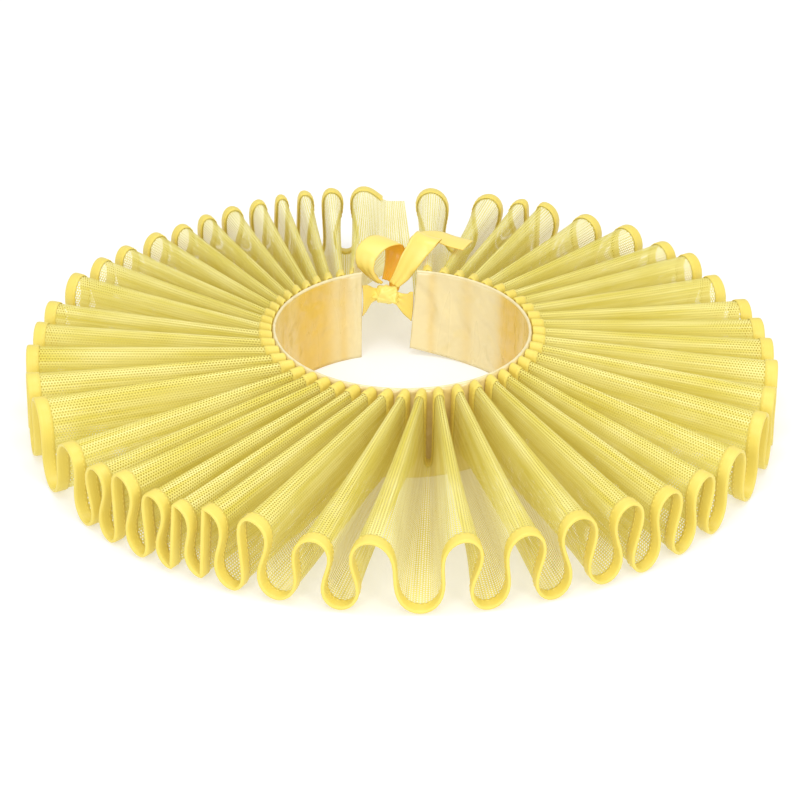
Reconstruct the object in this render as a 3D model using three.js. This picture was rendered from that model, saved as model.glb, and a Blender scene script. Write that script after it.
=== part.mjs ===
// A detachable pleated collar: a long strip of fine net, bound along both edges with satin ribbon,
// folded into deep waves around a standing satin neckband that ties at the back with a ribbon bow.
// Millimetres, +Z up. The origin is on the floor under the middle of the ruffle's round outline.
// Azimuths are in degrees: 0 is the front (-Y), 90 the right side (+X), and 180 the back opening.
import * as THREE from 'three';

// Ruffle: radii of the strip's two edges, and the heights of its fold lines above the floor
const RUFFLE_RADIUS = 188;
const FOLD_INNER_RADIUS = 65.4;
const OUTER_CREST_HEIGHT = 38;
const OUTER_TROUGH_HEIGHT = 1.4;
const INNER_CREST_HEIGHT = 49.6;
const INNER_TROUGH_HEIGHT = 10;
const NET_WALL = 1.0;
const BINDING_WALL = 2.0;
const INNER_BINDING_WALL = 1.7;
const BINDING_WIDTH = 6.4;
const SEAM_GAP = 0.3;
const LEAST_TROUGH_HEIGHT = 1.2;

// How square the folds are: flat sides at the neckband, round loops at the outer edge.
// A wave whose sides are steeper than ROUND_SLOPE has squarer folds, so that its sides stay apart.
const INNER_SHARPNESS = 6;
const OUTER_SHARPNESS = 0.3;
const ROUND_SLOPE = 2.6;
const SHARPNESS_GAIN = 0.35;

// A half wave turns from level to its steepest angle, searched for between these two, in radians
const GENTLEST_SIDE = 0.4;
const STEEPEST_SIDE = 2.4;
const SEARCH_STEPS = 40;
const WALK_STEPS = 160;

// Segments of one half wave, from a trough to a crest
const OUTER_SEGMENTS = 6;
const INNER_SEGMENTS = 4;
const NET_MIDDLE_RADIUS = 112;

// Neckband. Its right end is cut at a slant, and its lower edge rises towards that end.
const BAND_OUTER_RADIUS = 65;
const BAND_WALL = 1.6;
const BAND_HEIGHT = 49.6;
const BAND_ROLL = 0.8;
const BAND_LEFT_END = -160.7;
const BAND_RIGHT_END_TOP = 173.2;
const BAND_RIGHT_END_FOOT = 176.2;
const BAND_LIFT_START = 141;
const BAND_LIFT = 4.2;
const BAND_SEGMENTS = 60;

// Ribbon of the ties and the bow
const RIBBON_WALL = 1.0;
const KNOT_CENTRE = [-8.5, 70, 32];
const KNOT_SIZE = [14, 10, 11];
const KNOT_FACETS = { round: 14, tall: 10 };

// Colours and roughness of the finishes
const NET_COLOUR = 0xe3d884;
const BINDING_COLOUR = 0xf2e06a;
const BAND_COLOUR = 0xe8d27a;
const RIBBON_COLOUR = 0xf0dc60;
const NET_ROUGHNESS = 0.8;
const SATIN_ROUGHNESS = 0.42;

// One row for each wave, from the back opening round the left side, the front and the right side.
// crest and trough are azimuths at the outer edge, where each trough follows its crest.
// crestLift and troughLift are how far they stand above the usual height.
const PLEATS = [
  { crest: -173.1, trough: -170.4, crestLift: 1.6, troughLift: 0.2 },
  { crest: -167.5, trough: -165.3, crestLift: 1.8, troughLift: 0.6 },
  { crest: -162.8, trough: -160.9, crestLift: 1.9, troughLift: 0.0 },
  { crest: -158.7, trough: -156.9, crestLift: 1.4, troughLift: 0.8 },
  { crest: -154.7, trough: -152.4, crestLift: 0.6, troughLift: 0.3 },
  { crest: -149.6, trough: -147.3, crestLift: -0.1, troughLift: 0.9 },
  { crest: -144.5, trough: -142.5, crestLift: -1.1, troughLift: 0.2 },
  { crest: -139.7, trough: -137.3, crestLift: -2.4, troughLift: 0.7 },
  { crest: -134.0, trough: -131.0, crestLift: -1.7, troughLift: 0.0 },
  { crest: -126.9, trough: -124.4, crestLift: -1.3, troughLift: 0.9 },
  { crest: -120.6, trough: -117.4, crestLift: -0.2, troughLift: 0.4 },
  { crest: -113.0, trough: -108.9, crestLift: 1.4, troughLift: 0.1 },
  { crest: -103.6, trough: -101.0, crestLift: -0.6, troughLift: 0.8 },
  { crest: -97.0, trough: -93.1, crestLift: -1.7, troughLift: 0.3 },
  { crest: -88.2, trough: -84.2, crestLift: 0.0, troughLift: 0.0 },
  { crest: -79.2, trough: -75.2, crestLift: 0.0, troughLift: 0.6 },
  { crest: -71.4, trough: -64.2, crestLift: -0.2, troughLift: 0.0 },
  { crest: -58.0, trough: -52.8, crestLift: -3.0, troughLift: 0.0 },
  { crest: -50.0, trough: -46.6, crestLift: -2.6, troughLift: 0.0 },
  { crest: -44.3, trough: -40.2, crestLift: 2.1, troughLift: 1.0 },
  { crest: -38.0, trough: -34.5, crestLift: -0.3, troughLift: 1.7 },
  { crest: -33.6, trough: -29.2, crestLift: -0.4, troughLift: 2.7 },
  { crest: -28.6, trough: -24.0, crestLift: 2.8, troughLift: 1.2 },
  { crest: -21.6, trough: -17.4, crestLift: 3.4, troughLift: 1.2 },
  { crest: -12.3, trough: -8.4, crestLift: -1.8, troughLift: 0.5 },
  { crest: -4.4, trough: 2.9, crestLift: -0.4, troughLift: 0.0 },
  { crest: 9.0, trough: 12.4, crestLift: 0.1, troughLift: 0.0 },
  { crest: 17.9, trough: 22.0, crestLift: -0.1, troughLift: 0.0 },
  { crest: 25.7, trough: 30.3, crestLift: 3.1, troughLift: 1.2 },
  { crest: 34.2, trough: 37.2, crestLift: 2.2, troughLift: 0.0 },
  { crest: 42.0, trough: 44.8, crestLift: -0.5, troughLift: 0.0 },
  { crest: 49.8, trough: 52.4, crestLift: -2.3, troughLift: 0.0 },
  { crest: 58.4, trough: 63.8, crestLift: -2.6, troughLift: 0.0 },
  { crest: 69.8, trough: 73.7, crestLift: -1.1, troughLift: 0.6 },
  { crest: 77.4, trough: 81.4, crestLift: -0.1, troughLift: 0.1 },
  { crest: 86.6, trough: 90.3, crestLift: -0.6, troughLift: 0.7 },
  { crest: 94.1, trough: 97.5, crestLift: -1.1, troughLift: 0.2 },
  { crest: 101.0, trough: 104.2, crestLift: -1.1, troughLift: 0.8 },
  { crest: 107.5, trough: 112.6, crestLift: -0.9, troughLift: 0.0 },
  { crest: 117.5, trough: 120.9, crestLift: -1.8, troughLift: 0.6 },
  { crest: 124.4, trough: 127.6, crestLift: 1.6, troughLift: 0.3 },
  { crest: 130.8, trough: 134.8, crestLift: 0.3, troughLift: 0.9 },
  { crest: 138.7, trough: 143.0, crestLift: 1.3, troughLift: 0.1 },
  { crest: 147.1, trough: 151.2, crestLift: -0.4, troughLift: 0.5 },
  { crest: 155.3, trough: 157.3, crestLift: 0.8, troughLift: 0.0 },
  { crest: 159.1, trough: 162.1, crestLift: 0.1, troughLift: 0.7 },
  { crest: 165.0, trough: 170.0, crestLift: 0.2, troughLift: 0.2 },
  { crest: 175.2, trough: 178.7, crestLift: 0.7, troughLift: 0.4 },
];

// Where the waves are sewn to the neckband: the azimuths of some crests, with even steps between
const SEWN_CRESTS = [
  { wave: 1, azimuth: -157.0 },
  { wave: 13, azimuth: -83.0 },
  { wave: 27, azimuth: 15.5 },
  { wave: 30, azimuth: 40.5 },
  { wave: 36, azimuth: 83.5 },
  { wave: 48, azimuth: 168.6 },
];
const LAST_SEWN_TROUGH = 172.6;

// The loose net end beside the first wave: how far its cut edge lies to the right, by radius
const FLAP_EDGE = [
  { radius: 70, x: -26.4, height: 34 },
  { radius: 112, x: 5.5, height: 32 },
  { radius: 190, x: 0.6, height: 32 },
];
// From the first crest the net bends down to that loose end: shares of the way along and down.
// The outer binding stops at the first row.
const FLAP_BEND = [
  { along: 0.46, drop: 0.78 },
  { along: 0.33, drop: 0.4 },
  { along: 0.17, drop: 0.1 },
];

const toRadians = THREE.MathUtils.degToRad;

function between(rows, key, at, value) {
  const after = Math.max(1, rows.findIndex((row) => row[key] >= at));
  const low = rows[after - 1];
  const high = rows[after];
  return low[value] + ((high[value] - low[value]) * (at - low[key])) / (high[key] - low[key]);
}

// A fold line runs straight from the neckband to the outer edge
function foldAzimuth(sewn, outer, radius) {
  const span = RUFFLE_RADIUS - FOLD_INNER_RADIUS;
  const toEdge = (RUFFLE_RADIUS - radius) / span;
  const slant = Math.sin(toRadians(sewn - outer)) * FOLD_INNER_RADIUS * toEdge;
  return toRadians(outer) + Math.asin(slant / radius);
}

function turning(u, sharpness) {
  return Math.tanh(sharpness * Math.sin(Math.PI * u)) / Math.tanh(sharpness);
}

// Half a wave: its direction turns from level to its steepest and back to level.
// The steepest angle is found so that the curve ends as far along and as far up as asked.
function halfWave(along, up, sharpness, segments) {
  const walk = (steepest) => {
    const path = [[0, 0]];
    for (let i = 0; i < WALK_STEPS; i += 1) {
      const heading = steepest * turning((i + 0.5) / WALK_STEPS, sharpness);
      const [x, z] = path[i];
      path.push([x + Math.cos(heading) / WALK_STEPS, z + Math.sin(heading) / WALK_STEPS]);
    }
    return path;
  };
  let low = GENTLEST_SIDE;
  let high = STEEPEST_SIDE;
  for (let i = 0; i < SEARCH_STEPS; i += 1) {
    const middle = (low + high) / 2;
    const [x, z] = walk(middle)[WALK_STEPS];
    if (x * Math.abs(up) > along * z) {
      low = middle;
    } else {
      high = middle;
    }
  }
  const path = walk(low);
  const scale = Math.abs(up) / path[WALK_STEPS][1];
  const points = [];
  for (let i = 0; i <= segments; i += 1) {
    const u = 0.5 - 0.5 * Math.cos((Math.PI * i) / segments);
    const [x, z] = path[Math.round(u * WALK_STEPS)];
    points.push([x * scale, Math.sign(up) * z * scale]);
  }
  return points;
}

// The fold lines at one radius: [distance round the circle, height] of each crest and trough in turn
function foldsAt(radius) {
  const share = (radius - FOLD_INNER_RADIUS) / (RUFFLE_RADIUS - FOLD_INNER_RADIUS);
  const mix = (inner, outer) => inner + (outer - inner) * share;
  const sewn = PLEATS.map((pleat, i) => between(SEWN_CRESTS, 'wave', i + 1, 'azimuth'));
  const folds = [];
  PLEATS.forEach((pleat, i) => {
    const sewnTrough = i + 1 < PLEATS.length ? (sewn[i] + sewn[i + 1]) / 2 : LAST_SEWN_TROUGH;
    const crestHeight = mix(INNER_CREST_HEIGHT, OUTER_CREST_HEIGHT + pleat.crestLift);
    const outerTrough = Math.max(LEAST_TROUGH_HEIGHT, OUTER_TROUGH_HEIGHT + pleat.troughLift);
    const troughHeight = mix(INNER_TROUGH_HEIGHT, outerTrough);
    folds.push([foldAzimuth(sewn[i], pleat.crest, radius) * radius, crestHeight]);
    folds.push([foldAzimuth(sewnTrough, pleat.trough, radius) * radius, troughHeight]);
  });
  return folds;
}

// How square each half wave's folds are at the outer edge, from the slope between its fold lines
function outerSharpness() {
  const folds = foldsAt(RUFFLE_RADIUS);
  return folds.slice(1).map(([x, z], i) => {
    const slope = Math.abs(z - folds[i][1]) / (x - folds[i][0]);
    return OUTER_SHARPNESS + SHARPNESS_GAIN * Math.max(0, slope - ROUND_SLOPE) ** 2;
  });
}

// The strip's section at one radius, from its first crest to its last trough
function sectionAt(radius, segments) {
  const share = (radius - FOLD_INNER_RADIUS) / (RUFFLE_RADIUS - FOLD_INNER_RADIUS);
  const outer = outerSharpness();
  const folds = foldsAt(radius);
  const section = [folds[0]];
  for (let i = 1; i < folds.length; i += 1) {
    const sharpness = INNER_SHARPNESS + (outer[i - 1] - INNER_SHARPNESS) * share;
    const [fromX, fromZ] = folds[i - 1];
    const [toX, toZ] = folds[i];
    const points = halfWave(toX - fromX, toZ - fromZ, sharpness, segments);
    points.slice(1).forEach(([x, z]) => section.push([fromX + x, fromZ + z]));
  }
  return section;
}

// Points that lead from the loose end's cut edge, or from where the binding stops, to the first crest
function looseEnd([crestX, crestZ], radius, toTheEdge) {
  const edgeX = between(FLAP_EDGE, 'radius', radius, 'x');
  const along = (-Math.PI - Math.asin(edgeX / radius)) * radius - crestX;
  const drop = crestZ - between(FLAP_EDGE, 'radius', radius, 'height');
  const bend = FLAP_BEND.map((row) => [crestX + along * row.along, crestZ - drop * row.drop]);
  return toTheEdge ? [[crestX + along, crestZ - drop], ...bend] : bend;
}

// Both faces of the wall at one radius: the section moved out by half the wall along its normals
function wallFaces(section, wall, radius) {
  const faces = [[], []];
  section.forEach(([x, z], i) => {
    const [beforeX, beforeZ] = section[Math.max(0, i - 1)];
    const [afterX, afterZ] = section[Math.min(section.length - 1, i + 1)];
    const before = Math.atan2(z - beforeZ, x - beforeX);
    const after = Math.atan2(afterZ - z, afterX - x);
    const atAnEnd = i === 0 || i === section.length - 1;
    const turn = atAnEnd ? 0 : Math.atan2(Math.sin(after - before), Math.cos(after - before));
    const heading = (i === 0 ? after : before) + turn / 2;
    const reach = wall / 2 / Math.cos(turn / 2);
    [reach, -reach].forEach((offset, side) => {
      const round = (x - offset * Math.sin(heading)) / radius;
      const height = z + offset * Math.cos(heading);
      faces[side].push([radius * Math.sin(round), -radius * Math.cos(round), height]);
    });
  });
  return faces;
}

// A closed solid from rings of points: every ring has the same count, and each joins the next.
// A ring runs out along one face of the wall and back along the other. Both faces are split along
// the same diagonals, so that a twisted wall keeps its thickness and never crosses itself.
function loft(rings, name, colour) {
  const count = rings[0].length;
  const positions = rings.flat(2);
  const index = [];
  const at = (ring, point) => ring * count + (point % count);
  for (let r = 0; r + 1 < rings.length; r += 1) {
    for (let p = 0; p < count; p += 1) {
      const [a, b, c, d] = [at(r, p), at(r + 1, p), at(r + 1, p + 1), at(r, p + 1)];
      if (p < count / 2) {
        index.push(a, b, c, a, c, d);
      } else {
        index.push(a, b, d, b, c, d);
      }
    }
  }
  return { positions, index, count, name, colour };
}

function toMesh({ positions, index, name, colour }, roughness) {
  const corner = (i) => new THREE.Vector3().fromArray(positions, index[i] * 3);
  let volume = 0;
  for (let i = 0; i < index.length; i += 3) {
    volume += corner(i).dot(corner(i + 1).cross(corner(i + 2)));
  }
  const faces = [...index];
  if (volume < 0) {
    faces.reverse();
  }
  const geometry = new THREE.BufferGeometry();
  geometry.setAttribute('position', new THREE.Float32BufferAttribute(positions, 3));
  geometry.setIndex(faces);
  geometry.computeVertexNormals();
  const material = new THREE.MeshStandardMaterial({ color: colour, roughness, metalness: 0 });
  const mesh = new THREE.Mesh(geometry, material);
  mesh.name = name;
  return mesh;
}

// A pleated strip: one closed ring of points for each column, through both faces of every radius
// start is 'crest', 'bend' or 'edge': how far into the loose end the strip begins.
function pleatedStrip({ name, colour, roughness, radii, wall, segments, start }) {
  const faces = radii.map((radius) => {
    const section = sectionAt(radius, segments);
    const before = start === 'crest' ? [] : looseEnd(section[0], radius, start === 'edge');
    return wallFaces([...before, ...section], wall, radius);
  });
  const rings = faces[0][0].map((unused, column) => [
    ...faces.map(([top]) => top[column]),
    ...[...faces].reverse().map(([, under]) => under[column]),
  ]);
  const solid = loft(rings, name, colour);
  const last = radii.length * 2 - 1;
  for (let step = 0; step + 1 < radii.length; step += 1) {
    const ends = [0, (rings.length - 1) * solid.count];
    const quad = [step, step + 1, last - step - 1, last - step];
    const [a, b, c, d] = quad.map((p) => p + ends[0]);
    solid.index.push(a, b, c, a, c, d);
    const [e, f, g, h] = quad.map((p) => p + ends[1]);
    solid.index.push(e, g, f, e, h, g);
  }
  return toMesh(solid, roughness);
}

// The standing band: its wall section, swept round from one end to the other
function neckband() {
  const inner = BAND_OUTER_RADIUS - BAND_WALL;
  const rollTop = BAND_HEIGHT - BAND_ROLL;
  const wallSection = [
    [inner, 0],
    [BAND_OUTER_RADIUS, 0],
    [BAND_OUTER_RADIUS, rollTop],
    [BAND_OUTER_RADIUS - BAND_ROLL, BAND_HEIGHT],
    [inner - BAND_ROLL / 2, BAND_HEIGHT],
    [inner - BAND_ROLL, rollTop],
    [inner - BAND_ROLL, rollTop - BAND_ROLL * 2],
    [inner, rollTop - BAND_ROLL * 3],
  ];
  const rings = [];
  for (let i = 0; i <= BAND_SEGMENTS; i += 1) {
    const share = i / BAND_SEGMENTS;
    rings.push(wallSection.map(([r, z]) => {
      const end = THREE.MathUtils.lerp(BAND_RIGHT_END_FOOT, BAND_RIGHT_END_TOP, z / BAND_HEIGHT);
      const degrees = THREE.MathUtils.lerp(BAND_LEFT_END, end, share);
      const rise = Math.max(0, (degrees - BAND_LIFT_START) / (BAND_RIGHT_END_FOOT - BAND_LIFT_START));
      const azimuth = toRadians(degrees);
      const height = z === 0 ? BAND_LIFT * rise ** 2 : z;
      return [r * Math.sin(azimuth), -r * Math.cos(azimuth), height];
    }));
  }
  const solid = loft(rings, 'neckband', BAND_COLOUR);
  const cap = [[0, 1, 7], [1, 2, 7], [2, 6, 7], [2, 3, 6], [3, 5, 6], [3, 4, 5]];
  const end = BAND_SEGMENTS * solid.count;
  cap.forEach(([a, b, c]) => {
    solid.index.push(a, b, c);
    solid.index.push(end + a, end + c, end + b);
  });
  return toMesh(solid, SATIN_ROUGHNESS);
}

// A length of ribbon: a curve through its middle, with the way its width points and the width at each stop
function ribbon(name, stops, segments) {
  const middle = new THREE.CatmullRomCurve3(stops.map(({ at }) => new THREE.Vector3(...at)));
  const across = new THREE.CatmullRomCurve3(stops.map(({ across: way }) => new THREE.Vector3(...way)));
  const rings = [];
  for (let i = 0; i <= segments; i += 1) {
    const u = i / segments;
    const place = Math.min(u * (stops.length - 1), stops.length - 1 - 1e-6);
    const stop = Math.floor(place);
    const width = THREE.MathUtils.lerp(stops[stop].width, stops[stop + 1].width, place - stop);
    const side = across.getPoint(u).normalize();
    const along = middle.getTangent(u);
    side.addScaledVector(along, -side.dot(along)).normalize();
    const face = new THREE.Vector3().crossVectors(along, side);
    const centre = middle.getPoint(u);
    const corners = [[-1, -1], [1, -1], [1, 1], [-1, 1]];
    rings.push(corners.map(([w, t]) => centre.clone()
      .addScaledVector(side, (w * width) / 2)
      .addScaledVector(face, (t * RIBBON_WALL) / 2)
      .toArray()));
  }
  const solid = loft(rings, name, RIBBON_COLOUR);
  const end = segments * solid.count;
  solid.index.push(0, 1, 2, 0, 2, 3);
  solid.index.push(end, end + 2, end + 1, end, end + 3, end + 2);
  return toMesh(solid, SATIN_ROUGHNESS);
}

function knot() {
  const geometry = new THREE.SphereGeometry(0.5, KNOT_FACETS.round, KNOT_FACETS.tall);
  geometry.scale(...KNOT_SIZE);
  const material = new THREE.MeshStandardMaterial({
    color: RIBBON_COLOUR, roughness: SATIN_ROUGHNESS, metalness: 0,
  });
  const mesh = new THREE.Mesh(geometry, material);
  mesh.name = 'knot';
  mesh.position.set(...KNOT_CENTRE);
  return mesh;
}

const LEFT_TIE = [
  { at: [-20.7, 61.0, 32.6], across: [0, 0, 1], width: 18 },
  { at: [-18.4, 64.6, 32.6], across: [0, 0, 1], width: 15 },
  { at: [-15.7, 68.4, 32.3], across: [0, 0, 1], width: 9 },
];
const RIGHT_TIE = [
  { at: [5.2, 64.3, 28.0], across: [0.067, 0, 1], width: 17 },
  { at: [2.4, 67.0, 28.1], across: [0.04, 0, 1], width: 14 },
  { at: [-1.6, 69.5, 29.6], across: [0, 0, 1], width: 7 },
];
const LEFT_LOOP = [
  { at: [-12.0, 73.2, 37.4], across: [-0.6, 0.6, -0.1], width: 5 },
  { at: [-16.2, 70.4, 42.6], across: [-0.85, 0.5, 0.2], width: 7 },
  { at: [-19.2, 69.8, 48.6], across: [-0.85, 0.5, 0.35], width: 10 },
  { at: [-18.6, 72.4, 55.0], across: [-0.8, 0.6, 0.3], width: 12.7 },
  { at: [-12.6, 78.0, 58.6], across: [-0.8, 0.6, 0.2], width: 12.7 },
  { at: [-5.4, 84.0, 56.0], across: [-0.85, 0.55, 0.1], width: 12.7 },
  { at: [-4.2, 86.0, 49.4], across: [-0.9, 0.4, 0.1], width: 11 },
  { at: [-6.2, 81.6, 42.4], across: [-0.9, 0.3, 0.1], width: 7 },
  { at: [-8.6, 76.6, 37.2], across: [-0.9, 0.2, 0.1], width: 4.6 },
];
const RIGHT_LOOP = [
  { at: [-4.4, 70.6, 37.4], across: [0.8, 0, -0.5], width: 6 },
  { at: [-0.2, 70.6, 43.4], across: [0.8, 0, -0.6], width: 9 },
  { at: [4.2, 72.6, 51.0], across: [0.8, 0.1, -0.45], width: 11.5 },
  { at: [9.0, 76.6, 57.2], across: [0.8, 0.15, -0.4], width: 12.7 },
  { at: [12.6, 81.6, 59.8], across: [0.85, -0.35, -0.3], width: 12.7 },
  { at: [14.4, 86.2, 58.6], across: [0.9, -0.35, -0.1], width: 12.7 },
  { at: [13.0, 89.0, 54.6], across: [0.9, -0.1, 0.1], width: 11 },
  { at: [8.4, 87.4, 50.2], across: [0.85, 0.1, 0.3], width: 8 },
  { at: [3.4, 83.4, 44.6], across: [0.85, 0.3, 0.1], width: 5.5 },
  { at: [-0.6, 78.6, 39.0], across: [0.85, 0.3, -0.2], width: 4.2 },
  { at: [-3.2, 75.4, 36.0], across: [0.9, 0.2, -0.3], width: 3.6 },
];
const RIGHT_TAIL = [
  { at: [-4.6, 75.3, 32.0], across: [0.9, 0.1, 0.1], width: 5 },
  { at: [-1.6, 88.6, 40.0], across: [0.8, 0.5, 0.3], width: 9 },
  { at: [6.0, 97.0, 50.4], across: [0.2, 1, 0.1], width: 11 },
  { at: [16.5, 99.6, 52.0], across: [0.05, 1, 0], width: 12.7 },
  { at: [26.5, 95.0, 51.0], across: [0.25, 1, 0], width: 12.7 },
  { at: [34.5, 91.0, 50.8], across: [0.35, 1, 0], width: 12.7 },
];
const LEFT_TAIL = [
  { at: [-11.2, 75.2, 30.4], across: [1, 0, 0], width: 6 },
  { at: [-11.4, 80.6, 28.0], across: [1, 0, 0], width: 10 },
  { at: [-11.6, 87.0, 22.4], across: [1, 0, 0], width: 12 },
];

// How many steps each length of ribbon is built in
const TIE_STEPS = 5;
const LEFT_LOOP_STEPS = 20;
const RIGHT_LOOP_STEPS = 22;
const RIGHT_TAIL_STEPS = 12;
const LEFT_TAIL_STEPS = 6;

const bindingOuterStart = RUFFLE_RADIUS - BINDING_WIDTH;
const bindingInnerEnd = FOLD_INNER_RADIUS + BINDING_WIDTH;

const collar = new THREE.Group();
collar.add(pleatedStrip({
  name: 'net_ruffle',
  colour: NET_COLOUR,
  roughness: NET_ROUGHNESS,
  radii: [bindingInnerEnd + SEAM_GAP, NET_MIDDLE_RADIUS, bindingOuterStart - SEAM_GAP],
  wall: NET_WALL,
  segments: OUTER_SEGMENTS,
  start: 'edge',
}));
collar.add(pleatedStrip({
  name: 'outer_binding',
  colour: BINDING_COLOUR,
  roughness: SATIN_ROUGHNESS,
  radii: [bindingOuterStart, RUFFLE_RADIUS],
  wall: BINDING_WALL,
  segments: OUTER_SEGMENTS,
  start: 'bend',
}));
collar.add(pleatedStrip({
  name: 'inner_binding',
  colour: BINDING_COLOUR,
  roughness: SATIN_ROUGHNESS,
  radii: [FOLD_INNER_RADIUS, bindingInnerEnd],
  wall: INNER_BINDING_WALL,
  segments: INNER_SEGMENTS,
  start: 'crest',
}));
collar.add(neckband());
collar.add(ribbon('left_tie', LEFT_TIE, TIE_STEPS));
collar.add(ribbon('right_tie', RIGHT_TIE, TIE_STEPS));
collar.add(knot());
collar.add(ribbon('left_bow_loop', LEFT_LOOP, LEFT_LOOP_STEPS));
collar.add(ribbon('right_bow_loop', RIGHT_LOOP, RIGHT_LOOP_STEPS));
collar.add(ribbon('right_tail', RIGHT_TAIL, RIGHT_TAIL_STEPS));
collar.add(ribbon('left_tail', LEFT_TAIL, LEFT_TAIL_STEPS));

export default collar;
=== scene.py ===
# %% [markdown]
# A pleated net collar stands on a pale floor, as on a maker's table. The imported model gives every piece's
# place and size, so this file only dresses it: fine net, satin bindings, a satin band and a ribbon bow.

# %% Load the frame
import bpy
import math
import numpy as np
from mathutils import Matrix, Vector


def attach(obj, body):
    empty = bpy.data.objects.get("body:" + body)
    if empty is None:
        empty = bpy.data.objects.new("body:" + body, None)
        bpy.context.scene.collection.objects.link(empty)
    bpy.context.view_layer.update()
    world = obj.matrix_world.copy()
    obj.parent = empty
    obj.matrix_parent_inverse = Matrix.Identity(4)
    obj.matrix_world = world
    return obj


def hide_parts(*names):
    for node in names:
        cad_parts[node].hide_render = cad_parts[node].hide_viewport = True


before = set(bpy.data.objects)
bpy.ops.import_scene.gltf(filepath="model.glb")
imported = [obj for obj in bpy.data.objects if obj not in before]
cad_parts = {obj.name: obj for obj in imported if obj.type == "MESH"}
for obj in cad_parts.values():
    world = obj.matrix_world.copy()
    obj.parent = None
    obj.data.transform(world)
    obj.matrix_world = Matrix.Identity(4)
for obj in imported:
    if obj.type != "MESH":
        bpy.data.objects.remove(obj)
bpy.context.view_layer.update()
MM = 0.001
print("nodes:", sorted(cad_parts))

# %% [markdown]
# The camera stands where the photograph was taken from: in front of the collar, a metre and a half away and
# 28 degrees up, with a long lens. A camera could be set by eye, but a round outline seen at a slant gives
# its height and distance, so the ruffle's outline and the band's two rims fixed these numbers.

# %% Camera
RUFFLE_RADIUS = 188.0
RUFFLE_MIDDLE_X = -3.8
CREST_PLANE = 38.5
DISTANCE_IN_RADII = 8
CAMERA_DISTANCE = DISTANCE_IN_RADII * RUFFLE_RADIUS
CAMERA_ELEVATION = math.radians(27.89)
CAMERA_ROLL = math.radians(0.69)
RADIUS_PIXELS = 374.4
FOCAL_PIXELS = RADIUS_PIXELS * DISTANCE_IN_RADII
PHOTO_SIZE = 800
PHOTO_CENTRE = (394.4, 346.1)

camera_data = bpy.data.cameras.new("camera")
camera = bpy.data.objects.new("camera", camera_data)
bpy.context.scene.collection.objects.link(camera)
bpy.context.scene.camera = camera
camera_data.sensor_width = 36
camera_data.lens = FOCAL_PIXELS * camera_data.sensor_width / PHOTO_SIZE
camera_data.shift_x = (PHOTO_SIZE / 2 - PHOTO_CENTRE[0]) / PHOTO_SIZE
camera_data.shift_y = -(PHOTO_SIZE / 2 - PHOTO_CENTRE[1]) / PHOTO_SIZE
camera_data.clip_start, camera_data.clip_end = 0.05, 20
aim = Vector((RUFFLE_MIDDLE_X, 0, CREST_PLANE)) * MM
towards = Vector((0, -math.cos(CAMERA_ELEVATION), math.sin(CAMERA_ELEVATION)))
turn = (-towards).to_track_quat("-Z", "Y").to_matrix().to_4x4() @ Matrix.Rotation(CAMERA_ROLL, 4, "Z")
camera.matrix_world = Matrix.Translation(aim + towards * CAMERA_DISTANCE * MM) @ turn
print("lens %.1f mm, %.2f m away" % (camera_data.lens, CAMERA_DISTANCE * MM))

# %% [markdown]
# The floor is one large pale plane, and the light is soft: an even white surround, a wide lamp overhead and
# one on each side in front. One lamp alone would leave the deep waves black, and the surround alone would
# leave the satin dull, because satin shines only where something bright is there to mirror. The view is the
# plain Standard one, because a film-like view would bleach a strong yellow.

# %% Floor and light
FLOOR_SIZE = 6.0
FLOOR_DROP = 0.0002
SURROUND_STRENGTH = 0.74
# name, place, where it is aimed, size in metres, watts
LAMPS = [
    ("lamp_overhead", (0, -0.2, 1.3), (0, 0, 0), 0.9, 6),
    ("lamp_front_left", (-0.6, -1.5, 0.9), (0, 0, 0.03), 0.6, 7),
    ("lamp_front_right", (0.8, -1.4, 0.8), (0, 0, 0.03), 0.6, 7),
]


def plane(name, size, height):
    half = size / 2
    mesh = bpy.data.meshes.new(name)
    corners = [(-half, -half, height), (half, -half, height), (half, half, height), (-half, half, height)]
    mesh.from_pydata(corners, [], [(0, 1, 2, 3)])
    thing = bpy.data.objects.new(name, mesh)
    bpy.context.scene.collection.objects.link(thing)
    return thing


def soft_lamp(name, place, aim_at, size, watts):
    data = bpy.data.lights.new(name, "AREA")
    data.shape = "DISK"
    data.size = size
    data.energy = watts
    lamp = bpy.data.objects.new(name, data)
    lamp.location = place
    lamp.rotation_euler = (Vector(aim_at) - Vector(place)).to_track_quat("-Z", "Y").to_euler()
    bpy.context.scene.collection.objects.link(lamp)


floor = plane("floor", FLOOR_SIZE, -FLOOR_DROP)
for lamp_row in LAMPS:
    soft_lamp(*lamp_row)

world = bpy.data.worlds.new("surround")
bpy.context.scene.world = world
world.use_nodes = True
surround = world.node_tree.nodes["Background"]
surround.inputs["Color"].default_value = (1, 1, 1, 1)
surround.inputs["Strength"].default_value = SURROUND_STRENGTH
bpy.context.scene.view_settings.view_transform = "Standard"
print("lamps: %d, view transform: %s" % (len(LAMPS), bpy.context.scene.view_settings.view_transform))

# %% [markdown]
# Every finish here is a pattern of numbers: where thread is, how a streak runs, how golden a stretch is.
# Such a pattern could be joined up node by node, but as arithmetic it can be read. So a small class wraps a
# socket, and an expression such as 1 - threads * 0.5 adds the Math nodes that it stands for. Any other node
# comes from `make`.

# %% Shader arithmetic


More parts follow.
